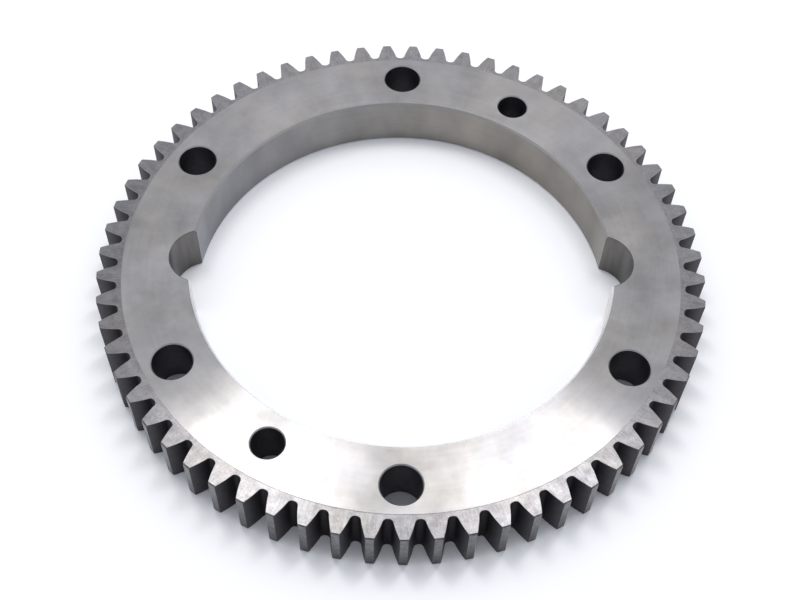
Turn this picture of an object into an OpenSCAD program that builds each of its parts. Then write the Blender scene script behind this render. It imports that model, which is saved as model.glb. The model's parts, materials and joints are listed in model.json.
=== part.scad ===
// Ring gear for the rim of a flywheel: one flat steel ring, turned from a blank,
// with straight involute teeth cut round the outside, six bolt holes, two smaller
// jacking holes and two round notches in the bore.
// Origin: middle of the underside. +Z runs along the axis, the first bolt hole
// lies on +Y and the two notches lie on the X axis.

/* [Teeth] */
// Number of teeth
teeth = 63; // [60:1:72]
// Module: pitch diameter divided by the number of teeth
tooth_module = 2.5; // [2.45:0.05:3]
// Pressure angle of the flanks, in degrees
pressure_angle = 20; // [14.5:0.5:22]
// Height of a tooth above the pitch circle, in modules
addendum = 1; // [0.8:0.05:1.1]
// Depth of a tooth gap below the pitch circle, in modules
dedendum = 1.157; // [1.1:0.001:1.25]
// Radius of the round corners in the bottom of a gap, in modules
root_fillet = 0.45; // [0.15:0.05:0.45]
// Angle from the notch line to the middle of the first tooth, in degrees
tooth_turn = 1.95; // [0:0.05:5.7]

/* [Ring] */
// Thickness over the two ground faces
thickness = 15; // [8:0.5:25]
// Radial width of the ring, from the bore out to the pitch circle
ring_w = 22.25; // [19.5:0.25:28]
// Chamfer at both ends of the bore
bore_chamfer = 0.5; // [0.1:0.1:2]
// Ring of lower face between the ground face and the tooth roots
relief_w = 1.2; // [0.4:0.1:2.2]
// How far the toothed rim lies below the ground faces
relief_depth = 0.15; // [0.05:0.05:1]
// Chamfer on both ends of the tooth tips
tip_chamfer = 0.3; // [0.1:0.1:1.5]

/* [Bolt holes] */
// Number of bolt holes
bolt_holes = 6; // [3:1:10]
// How far the middles of the bolt holes lie inside the pitch circle
bolt_inset = 11.75; // [10:0.25:14]
// Direction of the first bolt hole, turned from the notch line, in degrees
bolt_turn = 90; // [0:15:345]
// Diameter of a bolt hole
bolt_hole_d = 10.5; // [6:0.5:13]
// Number of jacking holes
jack_holes = 2; // [1:1:3]
// How far the middles of the jacking holes lie inside the pitch circle
jack_inset = 13.75; // [11:0.25:15.5]
// Diameter of a jacking hole
jack_hole_d = 8.5; // [5:0.5:12]
// Chamfer at both ends of every hole
hole_chamfer = 0.3; // [0.1:0.1:1]

/* [Bore notches] */
// Number of notches
notches = 2; // [1:1:6]
// Diameter of the cutter that leaves a notch
notch_d = 17; // [10:0.5:24]
// How far a notch reaches out beyond the bore
notch_depth = 5.8; // [3:0.1:7]
// Chamfer at both ends of a notch
notch_chamfer = 0.2; // [0.1:0.1:1]

/* [Hidden] */
$fn = 180;

// Straight steps that stand for the curve of one flank and of one fillet
flank_steps = 7;
fillet_steps = 6;
// How far a cutter runs past the face that it cuts
overrun = 1;

pitch_r = teeth * tooth_module / 2;
base_r = pitch_r * cos(pressure_angle);
tip_r = pitch_r + addendum * tooth_module;
root_r = pitch_r - dedendum * tooth_module;
fillet_r = root_fillet * tooth_module;
bore_r = pitch_r - ring_w;
land_r = root_r - relief_w;
bolt_circle_r = pitch_r - bolt_inset;
jack_circle_r = pitch_r - jack_inset;
notch_circle_r = bore_r + notch_depth - notch_d / 2;
// Angles between one tooth, or one bolt hole, and the next
tooth_pitch = 360 / teeth;
bolt_pitch = 360 / bolt_holes;

function degrees(radians) = radians * 180 / PI;
function polar(r, a) = [r * cos(a), r * sin(a)];

// Involute function, in degrees, and the pressure angle at a radius
function involute(a) = degrees(tan(a)) - a;
function angle_at(r) = acos(base_r / r);
// Half the angle that a tooth spans, and half of what a gap spans, at a radius
function half_tooth(r) = tooth_pitch / 4 + involute(pressure_angle) - involute(angle_at(r));
function half_gap(r) = tooth_pitch / 2 - half_tooth(r);

// The fillet rolls between the root circle and the flank. Its middle lies on the
// involute that runs parallel to the flank, one fillet radius out into the gap.
fillet_center_r = root_r + fillet_r;
fillet_center_a = half_gap(fillet_center_r) - degrees(fillet_r / base_r);
fillet_center = polar(fillet_center_r, fillet_center_a);
// Length of the base circle's tangent where the flank starts, and its direction
flank_tangent = sqrt(pow(fillet_center_r, 2) - pow(base_r, 2)) - fillet_r;
flank_start_r = sqrt(pow(base_r, 2) + pow(flank_tangent, 2));
flank_start_a = half_gap(flank_start_r) + angle_at(flank_start_r) + 90;
root_a = fillet_center_a + 180;

// One side of a tooth gap that lies on +X: down the flank, then round the fillet
gap_side = concat(
    [for (i = [flank_steps : -1 : 0])
        let (r = flank_start_r + (tip_r + overrun - flank_start_r) * i / flank_steps)
        polar(r, half_gap(r))],
    [for (i = [1 : fillet_steps])
        let (a = flank_start_a + (root_a - flank_start_a) * i / fillet_steps)
        fillet_center + polar(fillet_r, a)]
);

// Cutter for the space between two teeth
module gap_cutter() {
    other_side = [for (i = [len(gap_side) - 1 : -1 : 0]) [gap_side[i].x, -gap_side[i].y]];
    translate([0, 0, -overrun])
        linear_extrude(height = thickness + 2 * overrun)
            polygon(concat(gap_side, other_side));
}

// Straight through hole along the axis, with a chamfer at each face
module through_hole(d, chamfer) {
    translate([0, 0, -overrun])
        cylinder(d = d, h = thickness + 2 * overrun);
    for (side = [0, 1])
        translate([0, 0, side * thickness])
            mirror([0, 0, side])
                translate([0, 0, -overrun])
                    cylinder(r1 = d / 2 + chamfer + overrun, r2 = d / 2, h = chamfer + overrun);
}

// Copies of a shape, evenly spread on a circle round the axis
module ring_of(count, radius, first = 0) {
    for (i = [0 : count - 1])
        rotate([0, 0, first + i * 360 / count])
            translate([radius, 0, 0])
                children();
}

// Section of the turned blank, seen to the right of the axis
module blank_section() {
    top = thickness;
    rim_top = thickness - relief_depth;
    polygon([
        [bore_r + bore_chamfer, 0],
        [land_r, 0],
        [land_r, relief_depth],
        [tip_r - tip_chamfer, relief_depth],
        [tip_r, relief_depth + tip_chamfer],
        [tip_r, rim_top - tip_chamfer],
        [tip_r - tip_chamfer, rim_top],
        [land_r, rim_top],
        [land_r, top],
        [bore_r + bore_chamfer, top],
        [bore_r, top - bore_chamfer],
        [bore_r, bore_chamfer]
    ]);
}

// The ring: a turned blank, then its teeth, holes and notches cut into it
module ring_gear() {
    color([0.62, 0.62, 0.63])
        difference() {
            rotate_extrude()
                blank_section();
            ring_of(teeth, 0, tooth_turn + tooth_pitch / 2)
                gap_cutter();
            ring_of(bolt_holes, bolt_circle_r, bolt_turn)
                through_hole(bolt_hole_d, hole_chamfer);
            ring_of(jack_holes, jack_circle_r, bolt_turn - bolt_pitch / 2)
                through_hole(jack_hole_d, hole_chamfer);
            ring_of(notches, notch_circle_r)
                through_hole(notch_d, notch_chamfer);
        }
}

ring_gear();
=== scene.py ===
# %% [markdown]
# # A steel ring gear for a flywheel
# This is the toothed ring on the rim of a flywheel, which a starter's small pinion turns.
# The real one is a single piece: a flat ring is turned on a lathe, ground on both faces,
# bored and drilled, and a hob then cuts the teeth round its edge.
#
# The lesson models it in the same order, with the tools for editing a mesh, and then
# gives each machined surface the finish that its own tool leaves. It starts from the
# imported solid, which fixes the sizes and the place of everything.

# %% Load the frame
import json
from math import acos, atan2, cos, degrees, pi, radians, sin, sqrt, tan

import bmesh
import bpy
from mathutils import Matrix, Vector


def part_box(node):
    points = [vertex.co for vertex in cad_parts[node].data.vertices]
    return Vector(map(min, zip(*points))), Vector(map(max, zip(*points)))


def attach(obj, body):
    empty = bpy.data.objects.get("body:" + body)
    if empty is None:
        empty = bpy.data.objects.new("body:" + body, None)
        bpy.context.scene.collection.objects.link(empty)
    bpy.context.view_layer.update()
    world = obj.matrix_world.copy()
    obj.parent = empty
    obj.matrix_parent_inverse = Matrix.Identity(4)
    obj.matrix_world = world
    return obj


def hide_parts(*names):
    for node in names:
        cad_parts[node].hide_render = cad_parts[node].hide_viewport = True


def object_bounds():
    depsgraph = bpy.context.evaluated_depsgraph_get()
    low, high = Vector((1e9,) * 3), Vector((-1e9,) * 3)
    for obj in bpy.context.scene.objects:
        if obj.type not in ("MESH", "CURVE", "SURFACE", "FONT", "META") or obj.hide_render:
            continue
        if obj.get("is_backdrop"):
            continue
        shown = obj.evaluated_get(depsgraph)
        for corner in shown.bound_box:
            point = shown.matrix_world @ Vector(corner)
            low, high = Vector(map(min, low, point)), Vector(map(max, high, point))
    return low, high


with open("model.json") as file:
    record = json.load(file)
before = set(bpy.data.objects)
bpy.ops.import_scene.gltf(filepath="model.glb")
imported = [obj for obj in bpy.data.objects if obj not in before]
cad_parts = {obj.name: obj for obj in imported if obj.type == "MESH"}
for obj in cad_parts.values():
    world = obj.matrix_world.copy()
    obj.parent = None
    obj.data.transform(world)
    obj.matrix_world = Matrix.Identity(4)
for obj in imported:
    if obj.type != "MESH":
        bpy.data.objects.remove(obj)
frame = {"record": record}
cad_low, cad_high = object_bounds()
print("solid, in metres:", [round(size, 5) for size in cad_high - cad_low])

# %% [markdown]
# # Sizes of the ring
# A workshop drawing gives a gear in millimetres, so the mesh is drawn in millimetres too,
# and one scale at the end turns it into Blender's metres. What another part bolts to or
# fits into is read from the record that comes with the solid. The rest is the gear
# cutter's own data: the number of teeth, the module and the pressure angle.

# %% Sizes in millimetres and radians
MM = 0.001
fits = {mount["name"]: mount["dims"] for mount in frame["record"]["mounts"]}
ring_low, ring_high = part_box("ring_gear")
thickness = round((ring_high.z - ring_low.z) / MM, 3)

bore_r = fits["bore"]["r_mm"]
bolt_circle_r = fits["bolt_holes"]["pcd_mm"] / 2
bolt_holes = fits["bolt_holes"]["count"]
bolt_hole_r = fits["bolt_holes"]["hole_r_mm"]
jack_circle_r = fits["jack_holes"]["pcd_mm"] / 2
jack_holes = fits["jack_holes"]["count"]
jack_hole_r = fits["jack_holes"]["hole_r_mm"]
first_bolt = radians(90)
first_jack = radians(60)

teeth = 63
tooth_module = 2.5
pressure_angle = radians(20)
first_tooth = radians(1.95)
# Height and depth of a tooth and the round corner of a gap, in modules
addendum = 1
dedendum = 1.157
root_fillet = 0.45

tooth_pitch = 2 * pi / teeth
pitch_r = teeth * tooth_module / 2
base_r = pitch_r * cos(pressure_angle)
tip_r = pitch_r + addendum * tooth_module
root_r = pitch_r - dedendum * tooth_module
fillet_r = root_fillet * tooth_module

notch_r = 8.5
notch_depth = 5.8
notch_center = bore_r + notch_depth - notch_r
relief_w = 1.2
relief_depth = 0.15
land_r = root_r - relief_w

bore_chamfer = 0.5
hole_chamfer = 0.3
notch_chamfer = 0.2
tip_chamfer = 0.3
edge_break = 0.08

# Heights above the ring's middle plane, because the two halves are mirror images
top = thickness / 2
rim_top = top - relief_depth
print("ring:", thickness, "thick,", 2 * tip_r, "over the teeth,", 2 * bore_r, "bore, in mm")

# %% [markdown]
# # Camera
# The picture looks down at the ring from about 55 degrees above the table. A camera is
# easiest to read as a place, a point that it looks at and a roll about its own axis. The
# lens follows from how much of the scene the frame takes in.

# %% Place the camera
camera_place = Vector((-5.53, -196.53, 279.71)) * MM
camera_aim = Vector((-0.49, -13.69, 15.0)) * MM
camera_roll = radians(2.117)
sensor_width = 36
lens = 55.18

camera_data = bpy.data.cameras.new("camera")
camera_data.sensor_width = sensor_width
camera_data.lens = lens
camera = bpy.data.objects.new("camera", camera_data)
bpy.context.scene.collection.objects.link(camera)
look = (camera_aim - camera_place).to_track_quat("-Z", "Y").to_matrix().to_4x4()
camera.matrix_world = Matrix.Translation(camera_place) @ look @ Matrix.Rotation(camera_roll, 4, "Z")
bpy.context.scene.camera = camera
tilt = (camera_aim - camera_place).angle(Vector((0, 0, -1)))
print("camera looks", round(degrees(tilt), 1), "degrees away from straight down")

# %% [markdown]
# # Half of one tooth
# A tooth's flank is an involute: the path of the end of a taut string that unwinds from
# the base circle. A gear can be drawn tooth by tooth as one long outline, but half a
# tooth is all that has to be worked out. Mirroring gives the tooth, and spinning the
# tooth gives the gear, so each tooth is exactly like the next.
#
# The half outline runs along the tip, down the flank, round the fillet and along the
# bottom of the gap. Arcs are made by spinning one vertex. Only the flank needs points
# from a formula.

# %% Draw half a tooth
FLANK_STEPS = 12
FILLET_STEPS = 9
ARC_STEPS = 2
ORIGIN = Vector((0, 0, 0))
UP = Vector((0, 0, 1))


def polar(radius, angle, height=0.0):
    """A point at a distance and a direction from the axis."""
    return Vector((radius * cos(angle), radius * sin(angle), height))


def half_tooth(radius):
    """Half of the angle that a tooth spans at a radius."""
    at_radius = acos(base_r / radius)
    spread = (tan(pressure_angle) - pressure_angle) - (tan(at_radius) - at_radius)
    return tooth_pitch / 4 + spread


def of_type(items, kind):
    """The vertices, edges or faces in what an operator returned."""
    return [item for item in items if isinstance(item, kind)]


def arc(mesh, vert, center, angle, steps):
    """Carry a vertex round a center, leave edges behind it and return where it ends."""
    swept = bmesh.ops.spin(mesh, geom=[vert], cent=center, axis=UP, angle=angle, steps=steps)
    return of_type(swept["geom_last"], bmesh.types.BMVert)[0]


# The fillet rolls on the root circle and on a line parallel to the flank
fillet_center_r = root_r + fillet_r
fillet_center_angle = half_tooth(fillet_center_r) + fillet_r / base_r
fillet_center = polar(fillet_center_r, fillet_center_angle, rim_top)
tangent = sqrt(fillet_center_r ** 2 - base_r ** 2) - fillet_r
flank_start_r = sqrt(base_r ** 2 + tangent ** 2)

ring = bmesh.new()
last = arc(ring, ring.verts.new((tip_r, 0, rim_top)), ORIGIN, half_tooth(tip_r), ARC_STEPS)
for step in range(1, FLANK_STEPS + 1):
    radius = tip_r + (flank_start_r - tip_r) * step / FLANK_STEPS
    point = ring.verts.new(polar(radius, half_tooth(radius), rim_top))
    ring.edges.new((last, point))
    last = point
from_center = last.co - fillet_center
fillet_turn = fillet_center_angle + pi - atan2(from_center.y, from_center.x) % (2 * pi)
last = arc(ring, last, fillet_center, fillet_turn, FILLET_STEPS)
last = arc(ring, last, ORIGIN, tooth_pitch / 2 - fillet_center_angle, ARC_STEPS)
outline = ring.edges[:]
print("half a tooth:", len(outline), "edges, fillet turns",
      round(degrees(fillet_turn), 1), "degrees")

# %% [markdown]
# # From half a tooth to the whole toothed rim
# The outline is closed along a circle inside the tooth roots and filled with one face,
# which is the end face of the tooth. Extruding only the outline downwards makes the
# flank, the tip and the bottom of the gap, and leaves the cut sides of the slice open.
# Each kind of face gets its finish's number here, before the tooth is copied.

# %% Make the rim
FINISHES = ["ground_face", "toothed_face", "hobbed_flank", "turned_tip", "bored_wall",
            "turned_chamfer", "turned_step", "milled_notch", "drilled_wall", "broken_edge"]
# Vertices closer than this are one vertex, in millimetres
NEAR = 0.004
# What a radius may differ by where faces and edges are told apart, in millimetres
SLACK = 0.05


def paint(faces, finish):
    """Give faces the number of a finish."""
    for face in faces:
        face.material_index = FINISHES.index(finish)


def weld(mesh):
    """Join vertices that lie on each other."""
    bmesh.ops.remove_doubles(mesh, verts=mesh.verts, dist=NEAR)


inner = ring.verts.new(polar(land_r, tooth_pitch / 2, rim_top))
ring.edges.new((last, inner))
inner_end = arc(ring, inner, ORIGIN, -tooth_pitch / 2, ARC_STEPS)
ring.verts.ensure_lookup_table()
tip_middle = max(ring.verts, key=lambda vert: vert.co.x)
ring.edges.new((inner_end, tip_middle))
bmesh.ops.edgeloop_fill(ring, edges=ring.edges)
paint(ring.faces, "toothed_face")

sides = bmesh.ops.extrude_edge_only(ring, edges=outline)["geom"]
bmesh.ops.translate(ring, verts=of_type(sides, bmesh.types.BMVert), vec=-rim_top * UP)
side_faces = of_type(sides, bmesh.types.BMFace)
paint(side_faces, "hobbed_flank")
tip_faces = [face for face in side_faces if face.calc_center_median().xy.length > tip_r - SLACK]
paint(tip_faces, "turned_tip")
bmesh.ops.mirror(ring, geom=ring.verts[:] + ring.edges[:] + ring.faces[:], axis="Y")
weld(ring)
bmesh.ops.recalc_face_normals(ring, faces=ring.faces)
print("one tooth:", len(ring.faces), "faces")

# %% [markdown]
# # Edges of a tooth
# A sharp edge on steel is never really sharp. The blank was turned with a small chamfer
# at both ends of its outside, which leaves a slanted facet on each tooth tip, and the
# edges that the hob left have been stroked with a file or a brush. Both are bevels: the
# first slides along the edges of the tip alone, the second follows the whole outline.

# %% Chamfer the tip and break the edges
STEEP = radians(60)


def edges_at_top(mesh, test):
    """Edges of the upper face whose both ends pass a test."""
    return [edge for edge in mesh.edges
            if all(abs(vert.co.z - rim_top) < NEAR and test(vert.co) for vert in edge.verts)]


def bevel(mesh, edges, width, finish):
    """Cut a flat bevel along edges and give it a finish."""
    cut = bmesh.ops.bevel(mesh, geom=edges, offset=width, offset_type="OFFSET", affect="EDGES",
                          segments=1, profile=0.5, material=-1, clamp_overlap=True)
    paint(cut["faces"], finish)


tip_edges = edges_at_top(ring, lambda place: place.xy.length > tip_r - NEAR)
bevel(ring, tip_edges, tip_chamfer, "turned_tip")
outer_edges = edges_at_top(ring, lambda place: place.xy.length > root_r - SLACK)
sharp = [edge for edge in outer_edges
         if len(edge.link_faces) == 2 and edge.calc_face_angle() > STEEP]
bevel(ring, sharp, edge_break, "broken_edge")
bmesh.ops.rotate(ring, verts=ring.verts, cent=ORIGIN, matrix=Matrix.Rotation(first_tooth, 3, "Z"))
bmesh.ops.spin(ring, geom=ring.verts[:] + ring.edges[:] + ring.faces[:], cent=ORIGIN, axis=UP,
               angle=tooth_pitch * (teeth - 1), steps=teeth - 1, use_duplicate=True)
weld(ring)
print("toothed rim:", len(ring.faces), "faces")

# %% [markdown]
# # The ground face and its step
# Only the middle of the ring is ground. The toothed rim lies a hair lower, so the wheel
# of the grinder never touches the teeth. The rim's inner loop is lifted by that step,
# and its new upper loop becomes the edge of the ground face.

# %% Lift the step
rim_loop = [edge for edge in ring.edges
            if edge.is_boundary and all(vert.co.xy.length < land_r + NEAR for vert in edge.verts)]
step_up = bmesh.ops.extrude_edge_only(ring, edges=rim_loop)["geom"]
bmesh.ops.translate(ring, verts=of_type(step_up, bmesh.types.BMVert), vec=relief_depth * UP)
paint(of_type(step_up, bmesh.types.BMFace), "turned_step")
print("step:", len(rim_loop), "edges round")

# %% [markdown]
# # Bore with two notches
# Seen from above, the bore and its notches are four arcs that meet in sharp corners. The
# corner is where the two circles cross. Each arc starts as one vertex that is spun from
# corner to corner, and half of the outline turned by 180 degrees gives the other half.
#
# The chamfers are made by drawing the outline at four heights, with wider circles
# towards the top, and bridging each to the next. They all have as many points, so the
# bridges are clean rows of quads.

# %% Bore, notches and their chamfers
BORE_STEPS = 150
NOTCH_STEPS = 48


def ends_of(edges):
    """The vertices at the ends of edges, each of them once and always in the same order."""
    return list(dict.fromkeys(vert for edge in edges for vert in edge.verts))


def notched_outline(mesh, height, bore_radius, notch_radius):
    """Edges of the bore's outline at one height, as a half and its turned copy."""
    corner_x = (bore_radius ** 2 - notch_radius ** 2 + notch_center ** 2) / (2 * notch_center)
    corner_y = sqrt(bore_radius ** 2 - corner_x ** 2)
    before = set(mesh.edges)
    start = mesh.verts.new((corner_x, -corner_y, height))
    notch_half = atan2(corner_y, corner_x - notch_center)
    corner = arc(mesh, start, Vector((notch_center, 0, height)), 2 * notch_half, NOTCH_STEPS)
    arc(mesh, corner, ORIGIN, pi - 2 * atan2(corner_y, corner_x), BORE_STEPS)
    half = [edge for edge in mesh.edges if edge not in before]
    bmesh.ops.spin(mesh, geom=half + ends_of(half), cent=ORIGIN, axis=UP, angle=pi, steps=1,
                   use_duplicate=True)
    both = [edge for edge in mesh.edges if edge not in before]
    bmesh.ops.remove_doubles(mesh, verts=ends_of(both), dist=NEAR)
    return [edge for edge in mesh.edges if edge not in before]


def is_notch(face):
    """Whether a face of the bore's wall belongs to a notch."""
    place = face.calc_center_median()
    from_cutter = Vector((abs(place.x) - notch_center, place.y))
    return from_cutter.x > 0 and from_cutter.length < notch_r + notch_chamfer + SLACK


# Height of each outline, and how much wider its bore and its notches are
levels = [(0, 0, 0),
          (top - bore_chamfer, 0, 0),
          (top - notch_chamfer, bore_chamfer - notch_chamfer, 0),
          (top, bore_chamfer, notch_chamfer)]
loops = [notched_outline(ring, height, bore_r + wider, notch_r + wider_notch)
         for height, wider, wider_notch in levels]
wall_finishes = ("bored_wall", "turned_chamfer", "turned_chamfer")
for lower, upper, finish in zip(loops, loops[1:], wall_finishes):
    wall = bmesh.ops.bridge_loops(ring, edges=lower + upper)["faces"]
    paint(wall, finish)
    paint([face for face in wall if is_notch(face)], "milled_notch")
print("bore:", len(loops[0]), "edges round,", len(levels), "outlines")

# %% [markdown]
# # Bolt holes and jacking holes
# Six holes take the bolts, and two smaller ones on their own circle take the screws that
# push the ring off again. A hole is a cone with equal ends, and its chamfer a wider one
# on top. Both are open, so only the wall is made.

# %% Drill the holes
HOLE_STEPS = 72


def drill(mesh, place, radius):
    """An upright hole from the middle plane to the face, with a chamfer at the face."""
    shaft = top - hole_chamfer
    for low, high, high_r, finish in ((0, shaft, radius, "drilled_wall"),
                                      (shaft, top, radius + hole_chamfer, "broken_edge")):
        at = Matrix.Translation(place + UP * (low + high) / 2)
        made = bmesh.ops.create_cone(mesh, cap_ends=False, segments=HOLE_STEPS, radius1=radius,
                                     radius2=high_r, depth=high - low, matrix=at)
        paint({face for vert in made["verts"] for face in vert.link_faces}, finish)


for circle_r, count, first, radius in ((bolt_circle_r, bolt_holes, first_bolt, bolt_hole_r),
                                       (jack_circle_r, jack_holes, first_jack, jack_hole_r)):
    for number in range(count):
        drill(ring, polar(circle_r, first + 2 * pi * number / count), radius)
weld(ring)
print("holes:", bolt_holes + jack_holes)

# %% [markdown]
# # Fill the face and mirror the ring
# The upper face is flat, and all its borders now lie at one height, so one fill spans
# them and leaves the holes open. The lower half is the mirror image of the upper one. A
# mirror turns faces inside out, so the normals are worked out again once the two halves
# are welded.

# %% Close the mesh
borders = [edge for edge in ring.edges
           if edge.is_boundary and all(abs(vert.co.z - top) < NEAR for vert in edge.verts)]
face_parts = bmesh.ops.triangle_fill(ring, edges=borders, use_beauty=True, normal=UP)["geom"]
paint(of_type(face_parts, bmesh.types.BMFace), "ground_face")
bmesh.ops.mirror(ring, geom=ring.verts[:] + ring.edges[:] + ring.faces[:], axis="Z")
weld(ring)
bmesh.ops.recalc_face_normals(ring, faces=ring.faces)
bmesh.ops.translate(ring, verts=ring.verts, vec=top * UP)
open_edges = sum(1 for edge in ring.edges if len(edge.link_faces) != 2)
volume = ring.calc_volume()
bmesh.ops.scale(ring, verts=ring.verts, vec=(MM, MM, MM))
print("ring:", len(ring.faces), "faces,", open_edges, "open edges,", round(volume), "mm3")

# %% [markdown]
# # Shader maths
# A finish is a tree of nodes. Written out node by node, a formula is hard to read, so a
# small class wraps a socket and lets Python's own signs add the Math nodes. Any other
# node comes from one method, which sets its options before its sockets.
#
# Colors are mixed or multiplied by Mix nodes, because a Math node would turn them grey.

# %% Write nodes as sums
# A Mix node has sockets for every type of data: these are the ones for colors
MIX_FACTOR = 0
MIX_FIRST = 6
MIX_SECOND = 7
MIX_RESULT = 2


class Signal:
    """The output of a node, which can be used in a sum."""

    def __init__(self, shading, socket):
        self.shading = shading
        self.socket = socket

    def maths(self, operation, first, second):
        """Add a Math node."""
        return self.shading.node("Math", {"operation": operation}, {0: first, 1: second})

    def __add__(self, other):
        return self.maths("ADD", self, other)

    def __sub__(self, other):
        return self.maths("SUBTRACT", self, other)

    def __rsub__(self, other):
        return self.maths("SUBTRACT", other, self)

    def __mul__(self, other):
        return self.maths("MULTIPLY", self, other)

    __radd__ = __add__
    __rmul__ = __mul__


def opaque(color):
    """A color as a socket takes it, with its alpha, or a signal as it is."""
    return color if isinstance(color, Signal) else (*color, 1)


class Shading:
    """The nodes of one material or of the world."""

    def __init__(self, tree):
        self.tree = tree
        self.tree.nodes.clear()

    def node(self, kind, options=None, inputs=None, output=0):
        """Add a node, set its options, then its sockets, and return one of its outputs."""
        made = self.tree.nodes.new("ShaderNode" + kind)
        for name, value in (options or {}).items():
            if name == "stops":
                self.set_stops(made.color_ramp, value)
            else:
                setattr(made, name, value)
        for key, value in (inputs or {}).items():
            if isinstance(value, Signal):
                self.tree.links.new(value.socket, made.inputs[key])
            else:
                made.inputs[key].default_value = value
        return Signal(self, made.outputs[output]) if len(made.outputs) else made

    @staticmethod
    def set_stops(ramp, stops):
        """Give a color ramp its stops, each a position and a color."""
        while len(ramp.elements) < len(stops):
            ramp.elements.new(1)
        for element, (position, color) in zip(ramp.elements, stops):
            element.position = position
            element.color = opaque(color)

    def mix(self, factor, first, second):
        """A color between two others, by a factor that the node keeps from 0 to 1."""
        return self.node("Mix", {"data_type": "RGBA"},
                         {MIX_FACTOR: factor, MIX_FIRST: opaque(first), MIX_SECOND: opaque(second)},
                         MIX_RESULT)

    def tint(self, color, overlay):
        """A color as it shows through a film."""
        return self.node("Mix", {"data_type": "RGBA", "blend_type": "MULTIPLY"},
                         {MIX_FACTOR: 1.0, MIX_FIRST: color, MIX_SECOND: overlay}, MIX_RESULT)

    def noise(self, place, scale=1.0, detail=2.0, roughness=0.5):
        """Smooth random values from 0 to 1, with a middle of one half."""
        return self.node("TexNoise", None, {"Vector": place, "Scale": scale, "Detail": detail,
                                            "Roughness": roughness})


print("a signal takes the signs + - *, also with a number before it")

# %% [markdown]
# # Marks that follow the lathe
# A lathe or a grinder with a turning table leaves fine marks that run round the axis. In
# the shader that is a noise stretched along the circle: it changes quickly with the
# distance from the axis and slowly with the direction. The direction goes in as a point
# on a circle, not as an angle, so the pattern has no seam.
#
# Oil and dirt change slowly from one side of the ring to the other. A fade between two
# tones, from one distance to another along an axis, is enough for that.

# %% Coordinates for turned, upright and plain marks
CLEAR = (1.0, 1.0, 1.0)


def place_of(shading):
    """The place on the piece, in metres."""
    return shading.node("TexCoord", None, None, "Object")


def along(shading, axis):
    """How far the place lies along one axis, in metres."""
    return shading.node("SeparateXYZ", None, {0: place_of(shading)}, axis)


def scaled_place(shading, factors):
    """The place with each of its three coordinates scaled."""
    return shading.node("VectorMath", {"operation": "MULTIPLY"}, {0: place_of(shading), 1: factors})


def length_of(shading, vector):
    """The length of a vector, as a number."""
    return shading.node("VectorMath", {"operation": "LENGTH"}, {0: vector}, "Value")


def round_place(shading, around, outwards):
    """A place whose noise makes streaks round the axis: a low around makes them long."""
    flat = scaled_place(shading, (1, 1, 0))
    outward = shading.node("VectorMath", {"operation": "NORMALIZE"}, {0: flat})
    circle = shading.node("VectorMath", {"operation": "SCALE"}, {0: outward, "Scale": around})
    rise = shading.node("CombineXYZ", None, {"Z": length_of(shading, flat) * outwards})
    return shading.node("VectorMath", {"operation": "ADD"}, {0: circle, 1: rise})


def upright_place(shading, around, upwards):
    """A place whose noise makes streaks on a wall: a low upwards makes them upright."""
    return scaled_place(shading, (around, around, upwards))


def fade(distance, start, end, first, second):
    """One tone up to a start and another from an end on, both given in millimetres."""
    share = (distance - start * MM) * (1 / ((end - start) * MM))
    return distance.shading.mix(share, first, second)


def contrast(value, gain):
    """Push values away from their middle of one half."""
    return (value - 0.5) * gain + 0.5


print("coordinates: plain, round the axis and upright")

# %% [markdown]
# # Bare steel
# All finishes are the same steel, and what differs is how its surface was cut. So one
# function makes them all: two colors and the shades between them, a gloss, a fine grain
# as bump, and an overlay that multiplies the color: a film of oil, and for some finishes
# painted light and shade. Lighter places are also a little glossier, as they are where a
# hand has rubbed them.
#
# Turned and ground steel spreads a reflection across its rings. The shader's own tangent
# runs round the axis, so a quarter turn points the spread outwards, and that draws the
# bright fans on the ring. One layer of gloss alone gives them hard, glittering borders.
# The real ones are soft, because the last rings of a grinding wheel lie among rougher
# ones. A second, rougher layer with about a quarter of the weight gives that haze.

# %% One maker for every finish
GLOSS_CHANGE = -0.04
QUARTER_TURN = 0.25

# How much of the light the haze takes, and how far it differs from the gloss below it
HAZE_SHARE = 0.28
HAZE_ROUGHNESS = 0.088
HAZE_SPREAD = 0.06


def steel(name, dark, light, shades, roughness, grain, depth, spread=0.0, turn=0.0,
          overlay=None, hazy=False):
    """A finish between two colors; the depth of its grain is in millimetres."""
    material = bpy.data.materials.new(name)
    material.use_nodes = True
    shading = Shading(material.node_tree)
    shade = shades(shading)
    height = grain(shading)
    bump = shading.node("Bump", None, {"Strength": 1.0, "Distance": depth * MM, "Height": height})
    color = shading.mix(shade, dark, light)
    if overlay:
        color = shading.tint(color, overlay(shading))

    def gloss(middle, own_spread):
        """One layer of bare metal, with the middle of its roughness."""
        return shading.node("BsdfPrincipled", None, {
            "Base Color": color,
            "Metallic": 1.0,
            "Roughness": middle + (shade - 0.5) * GLOSS_CHANGE,
            "Anisotropic": own_spread,
            "Anisotropic Rotation": turn,
            "Normal": bump,
        })

    surface = gloss(roughness, spread)
    if hazy:
        haze = gloss(roughness + HAZE_ROUGHNESS, spread + HAZE_SPREAD)
        surface = shading.node("MixShader", None, {"Fac": HAZE_SHARE, 1: surface, 2: haze})
    shading.node("OutputMaterial", None, {"Surface": surface})
    print("finish", name, "has", len(material.node_tree.nodes), "nodes")
    return material


# %% [markdown]
# # The ground face
# The flat middle of the ring comes from a surface grinder, so it has the finest marks and
# the clearest fans. Handling has left soft clouds on it, and the oil on them is warmer in
# some places and cooler in others. An image of a scratched plate could give all this, but
# three noises of different stretch stay sharp at any distance and never repeat.

# %% Finish of the ground face


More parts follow.
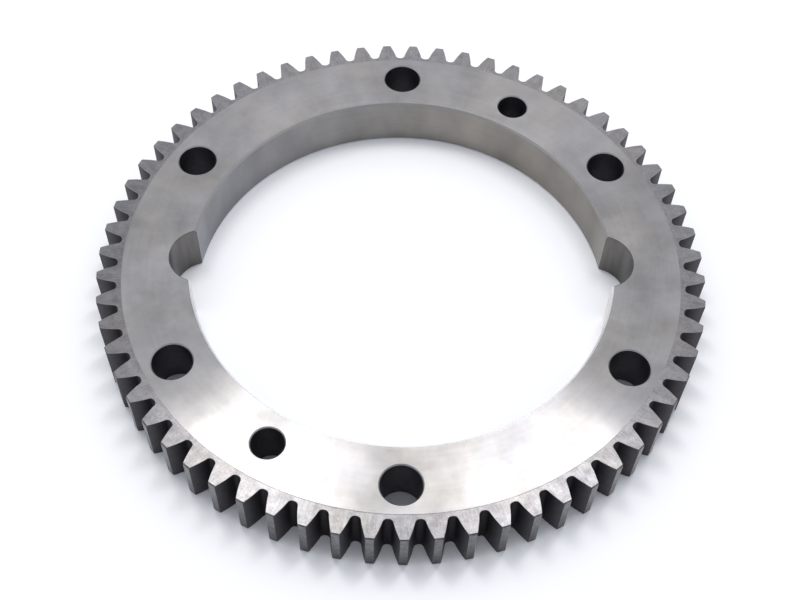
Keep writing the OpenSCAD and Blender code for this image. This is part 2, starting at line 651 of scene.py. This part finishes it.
def ground_shades(shading):
    """Soft clouds of handling and oil, faint spokes and the rings of the grinder."""
    clouds = shading.noise(place_of(shading), scale=85.0, detail=4.0, roughness=0.6)
    spokes = shading.noise(round_place(shading, around=9.0, outwards=12.0), detail=3.0, roughness=0.6)
    rings = shading.noise(round_place(shading, around=3.0, outwards=900.0))
    return contrast(clouds * 0.65 + spokes * 0.22 + rings * 0.13, gain=3.6)


def fine_rings(shading):
    """The rings that a grinder or a lathe leaves, as a height."""
    return shading.noise(round_place(shading, around=6.0, outwards=1500.0))


def thin_film(shading):
    """A breath of oil that is cooler in some places and warmer in others."""
    patches = contrast(shading.noise(place_of(shading), scale=55.0), gain=3.0)
    return shading.mix(patches, (0.985, 0.99, 1.03), (1.02, 1.0, 0.975))


def face_tint_and_far_shade(shading):
    """The same breath of oil, and painted shade that darkens the far side a little."""
    # Painted shade: the face gets darker towards the far side
    painted_side_shade = fade(along(shading, "Y"), -8, 32, CLEAR, (0.90, 0.90, 0.905))
    return shading.tint(thin_film(shading), painted_side_shade)


ground_face = steel("ground_face", (0.245, 0.242, 0.243), (0.362, 0.358, 0.362), ground_shades,
                    roughness=0.21, grain=fine_rings, depth=0.0002,
                    spread=0.88, turn=QUARTER_TURN, overlay=face_tint_and_far_shade, hazy=True)

# %% [markdown]
# # The toothed rim
# The ends of the teeth aren't ground. They are as the lathe and the hob left them, and a
# brush has taken off the burrs, so they are darker and speckled, with short scratches
# that run outwards. The gloss is duller here, and so the fans are weaker. The scratches
# are noise on the same round coordinates, squeezed until it is short and narrow.

# %% Finish of the teeth's ends


def toothed_shades(shading):
    """Small blotches and short radial scratches, as a deburring brush leaves them."""
    blotches = shading.noise(place_of(shading), scale=420.0, detail=3.0, roughness=0.6)
    scratches = shading.noise(round_place(shading, around=190.0, outwards=90.0),
                              detail=3.0, roughness=0.7)
    specks = shading.noise(place_of(shading), scale=2200.0)
    return contrast(blotches * 0.4 + scratches * 0.3 + specks * 0.3, gain=4.2)


def brushed_grain(shading):
    """Short scratches and fine grit, as a height."""
    scratches = shading.noise(round_place(shading, around=260.0, outwards=500.0),
                              detail=4.0, roughness=0.7)
    grit = shading.noise(place_of(shading), scale=1500.0, detail=3.0)
    return scratches * 0.6 + grit * 0.4


def rim_tint_and_left_shade(shading):
    """The same breath of oil, and painted shade that darkens the left side."""
    # Painted shade: the rim gets darker towards the left side
    painted_side_shade = fade(along(shading, "X"), -75, -25, (0.84, 0.84, 0.85), CLEAR)
    return shading.tint(thin_film(shading), painted_side_shade)


toothed_face = steel("toothed_face", (0.158, 0.156, 0.163), (0.272, 0.269, 0.276), toothed_shades,
                     roughness=0.30, grain=brushed_grain, depth=0.014,
                     spread=0.75, turn=QUARTER_TURN, overlay=rim_tint_and_left_shade)

# %% [markdown]
# # Flanks and tips of the teeth
# A hob leaves the flanks rough and oily, with marks along the tooth. The flanks get
# darker with their depth: painted shade in the bottom of the gaps. The tips are still the
# turned outside of the blank, which is brighter, and darker near the table: painted shade.
#
# Such shade could be painted on an unwrapped tooth. The distance from the axis does it
# for all the teeth at once, and needs no unwrapping.

# %% Finishes of the flanks and tips


def speckle(shading):
    """Fine even specks."""
    return shading.noise(place_of(shading), scale=700.0, detail=4.0, roughness=0.6)


def hob_marks(shading):
    """Marks along the tooth's width, as a hob leaves them."""
    return shading.noise(upright_place(shading, around=3500.0, upwards=120.0))


def root_painted_shade(shading):
    """Painted shade: the flanks darken towards the bottom of the tooth gaps, so the tips stay
    brighter.
    """
    # Painted shade, darkest at the root circle
    radius = length_of(shading, scaled_place(shading, (1, 1, 0)))
    return fade(radius, root_r, tip_r, (0.30, 0.30, 0.31), CLEAR)


def tip_blotches(shading):
    """Small stains on the turned outside."""
    blotches = shading.noise(place_of(shading), scale=900.0, detail=3.0, roughness=0.6)
    return contrast(blotches, gain=2.5)


def tool_rings(shading):
    """Rings of a turning or boring tool on a wall, as a height."""
    return shading.noise(upright_place(shading, around=60.0, upwards=3500.0), detail=3.0)


def tip_painted_shade(shading):
    """Painted shade: the lower ends of the tips are darker, near the table."""
    # Painted shade, darkest at the foot of the tips
    return fade(along(shading, "Z"), 0, 9.09, (0.30, 0.30, 0.32), CLEAR)


hobbed_flank = steel("hobbed_flank", (0.072, 0.067, 0.075), (0.128, 0.122, 0.133), speckle,
                     roughness=0.60, grain=hob_marks, depth=0.002, overlay=root_painted_shade)
turned_tip = steel("turned_tip", (0.092, 0.091, 0.095), (0.19, 0.189, 0.196), tip_blotches,
                   roughness=0.30, grain=tool_rings, depth=0.001, overlay=tip_painted_shade)

# %% [markdown]
# # The bore, its chamfers and the step
# The bore is turned to fit its flywheel, and a cloth has left upright streaks in its oil.
# The wall is browner to the right. Painted light lies over it: the near half is lighter,
# less so at the front, the far corners of the notches carry painted highlights, and the
# foot is lighter. Each of these is one fade, and they multiply each other.
# The streaks have no depth that could be modelled, so they are noise stretched upright.
#
# The chamfers and the step of the rim are narrow. Their near-white color is a painted
# highlight that shows them as light lines, apart from the chamfers on the far side, where
# the painted highlight fades out.

# %% Finishes of the bore, the chamfers and the step


def wall_streaks(shading):
    """Upright shades with rings of the boring tool over them."""
    shades = shading.noise(upright_place(shading, around=75.0, upwards=35.0), detail=3.0)
    rings = shading.noise(upright_place(shading, around=60.0, upwards=2500.0))
    return contrast(shades * 0.86 + rings * 0.14, gain=2.2)


def bore_tint_and_painted_light(shading):
    """The bore's tint, cooler left and warmer right, and painted light on the near half, far corners
    and foot.
    """
    # A tint: cooler to the left and warmer to the right
    overlay = fade(along(shading, "X"), -62.5, 20.8, (0.96, 0.98, 1.05), (1.05, 1.0, 0.91))
    depth = along(shading, "Y")
    # Painted light: a lighter near half, less so at the front, painted highlights at the far corners
    # of the notches, and a lighter foot
    for layer in (fade(depth, -8.33, 8.33, (2.3, 2.3, 2.36), CLEAR),
                  fade(depth, -34, -14, (0.68, 0.68, 0.68), CLEAR),
                  fade(depth, 8.5, 20, (1.16, 1.16, 1.19), CLEAR),
                  fade(along(shading, "Z"), 0, 12.5, (1.13, 1.13, 1.13), CLEAR)):
        overlay = shading.tint(overlay, layer)
    return overlay


def chamfer_highlight_far_fade(shading):
    """The painted highlight on the chamfers fades out towards the far side."""
    return fade(along(shading, "Y"), -2, 8, CLEAR, (0.33, 0.325, 0.32))


bored_wall = steel("bored_wall", (0.188, 0.185, 0.183), (0.305, 0.301, 0.299), wall_streaks,
                   roughness=0.42, grain=tool_rings, depth=0.0006, overlay=bore_tint_and_painted_light)
# Painted highlight: the near-white color of the chamfers
turned_chamfer = steel("turned_chamfer", (0.92, 0.92, 0.92), (0.97, 0.97, 0.97), speckle,
                       roughness=0.32, grain=fine_rings, depth=0.0002, overlay=chamfer_highlight_far_fade)
# Painted highlight: the near-white color of the rim's step
turned_step = steel("turned_step", (0.88, 0.88, 0.89), (0.96, 0.96, 0.97), speckle,
                    roughness=0.75, grain=fine_rings, depth=0.0002)

# %% [markdown]
# # Notches, holes and broken edges
# The side of a milling cutter leaves upright bands in the notches. The drilled holes are
# the darkest places: their walls are rough, and oil stays in them. The edges that a file
# or a countersink has broken are lighter than the faces on both sides of them. All three
# are small in the picture, so plain noise on the wall is enough for them.

# %% Finishes of the notches, the holes and the edges


def notch_bands(shading):
    """Upright bands that the side of the milling cutter leaves."""
    bands = shading.noise(upright_place(shading, around=260.0, upwards=35.0), detail=3.0)
    return contrast(bands, gain=2.4)


milled_notch = steel("milled_notch", (0.10, 0.095, 0.092), (0.185, 0.175, 0.168), notch_bands,
                     roughness=0.36, grain=hob_marks, depth=0.0015)
drilled_wall = steel("drilled_wall", (0.065, 0.062, 0.073), (0.115, 0.111, 0.127), speckle,
                     roughness=0.50, grain=tool_rings, depth=0.003)
broken_edge = steel("broken_edge", (0.28, 0.28, 0.29), (0.40, 0.40, 0.41), speckle,
                    roughness=0.40, grain=speckle, depth=0.002)
finishes = [ground_face, toothed_face, hobbed_flank, turned_tip, bored_wall, turned_chamfer,
            turned_step, milled_notch, drilled_wall, broken_edge]
assert [material.name for material in finishes] == FINISHES
print("finishes:", ", ".join(FINISHES))

# %% [markdown]
# # Put the piece in the scene
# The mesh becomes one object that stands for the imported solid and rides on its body. Its
# walls are shaded smooth, and every edge that turns by more than 25 degrees stays sharp,
# so round walls look round and flat faces stay flat.

# %% Make the object
SMOOTH_LIMIT = radians(25)

ring_mesh = bpy.data.meshes.new("toothed_ring")
ring.to_mesh(ring_mesh)
ring.free()
for material in finishes:
    ring_mesh.materials.append(material)
ring_mesh.shade_smooth()
ring_mesh.set_sharp_from_angle(angle=SMOOTH_LIMIT)
toothed_ring = bpy.data.objects.new("toothed_ring", ring_mesh)
bpy.context.scene.collection.objects.link(toothed_ring)
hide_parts("ring_gear")
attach(toothed_ring, "root")
print("triangles:", sum(len(face.vertices) - 2 for face in ring_mesh.polygons))

# %% [markdown]
# # The table
# The ring lies on white paper. A studio would bend the paper up behind the ring, but a
# bend stands in the way of a view from behind. So the sheet stays flat and is far larger
# than the picture, and its edge is out of sight from any side. Paper has no gloss to
# speak of, so its shader is rough and has no specular part.

# %% Lay the paper
TABLE_HALF = 12.0
PAPER_WHITE = (0.89, 0.905, 0.943)

table_mesh = bpy.data.meshes.new("table")
table_form = bmesh.new()
bmesh.ops.create_grid(table_form, x_segments=1, y_segments=1, size=TABLE_HALF)
table_form.to_mesh(table_mesh)
table_form.free()
paper = bpy.data.materials.new("paper")
paper.use_nodes = True
paper_shading = Shading(paper.node_tree)
paper_surface = paper_shading.node("BsdfPrincipled", None, {
    "Base Color": opaque(PAPER_WHITE), "Roughness": 0.9, "Specular IOR Level": 0.0})
paper_shading.node("OutputMaterial", None, {"Surface": paper_surface})
table_mesh.materials.append(paper)
table = bpy.data.objects.new("table", table_mesh)
bpy.context.scene.collection.objects.link(table)
table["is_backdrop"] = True
print("table:", 2 * TABLE_HALF, "m wide")

# %% [markdown]
# # Soft boxes
# Two soft boxes hang above the ring and a little behind it, one to each side. Each draws
# one bright fan on the near side of the ring, and the left one is warmer. A third, weak
# one between them fills the duller fan in the middle. An area light is given by its
# power, but what a mirror shows is its radiance, so the radiance is the value to set.

# %% Hang the soft boxes
RING_FRONT = Vector((0, -60, 15)) * MM
BOX_DISTANCE = 0.9
BOX_DEPTH = 0.27


def soft_box(name, toward, width, brightness, color):
    """A box of light that faces the front of the ring, with its brightness as radiance."""
    data = bpy.data.lights.new(name, "AREA")
    data.shape = "RECTANGLE"
    data.size = width
    data.size_y = BOX_DEPTH
    data.energy = brightness * pi * width * BOX_DEPTH
    data.color = color
    light = bpy.data.objects.new(name, data)
    place = RING_FRONT + toward.normalized() * BOX_DISTANCE
    facing = (-toward).to_track_quat("-Z", "Y").to_matrix().to_4x4()
    light.matrix_world = Matrix.Translation(place) @ facing
    light.visible_camera = False
    bpy.context.scene.collection.objects.link(light)
    print(name, "hangs", round(place.z, 2), "m above the table")


soft_box("soft_box_left", Vector((-0.199, 0.30, 0.93)), width=0.16, brightness=12.4,
         color=(1.0, 0.975, 0.925))
soft_box("soft_box_right", Vector((0.225, 0.30, 0.93)), width=0.125, brightness=13.5,
         color=(1.0, 0.98, 0.965))
soft_box("soft_box_middle", Vector((0.015, 0.40, 0.91)), width=0.22, brightness=2.2,
         color=(1.0, 0.98, 0.955))

# %% [markdown]
# # The room
# The room gives the rest of the light. It is bright overhead, which the ground face
# mirrors, and dark near the floor, which keeps the front teeth and their shadow dark.
# The ceiling is a little darker towards the viewer. A photographed room would give all
# this too, but a ramp over the angle from one direction needs no picture, and a second
# ramp multiplies the first.

# %% Light the room
room = bpy.data.worlds.new("room")
room.use_nodes = True
room_shading = Shading(room.node_tree)
direction = room_shading.node("TexCoord", None, None, "Generated")


def room_ramp(toward, stops):
    """Colors by how far a direction turns away from another, whose own stop is 1."""
    facing = room_shading.node("VectorMath", {"operation": "DOT_PRODUCT"},
                               {0: direction, 1: toward.normalized()}, "Value")
    return room_shading.node("ValToRGB", {"stops": stops}, {"Fac": facing * 0.5 + 0.5}, "Color")


ceiling = room_ramp(Vector((0, 0.42, 0.91)), [
    (0.00, (0.08, 0.083, 0.09)),
    (0.45, (0.62, 0.63, 0.67)),
    (0.67, (0.89, 0.91, 0.96)),
    (0.95, (0.89, 0.90, 0.94)),
    (1.00, (1.15, 1.15, 1.16)),
])
dark_side = room_ramp(Vector((0, -0.57, 0.82)), [
    (0.88, CLEAR),
    (0.96, (0.75, 0.75, 0.75)),
])
background = room_shading.node("Background", None, {"Color": room_shading.tint(ceiling, dark_side)})
room_shading.node("OutputWorld", None, {"Surface": background})
bpy.context.scene.world = room
bpy.context.scene.view_settings.view_transform = "Standard"

# %% [markdown]
# Check the size
# The finished piece has to fill the same box as the solid that it stands for. The largest
# difference between the two boxes is printed.

# %% Compare the boxes
low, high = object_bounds()
differences = [abs(value) for value in (*(low - cad_low), *(high - cad_high))]
print("largest difference, mm:", round(max(differences) / MM, 4))
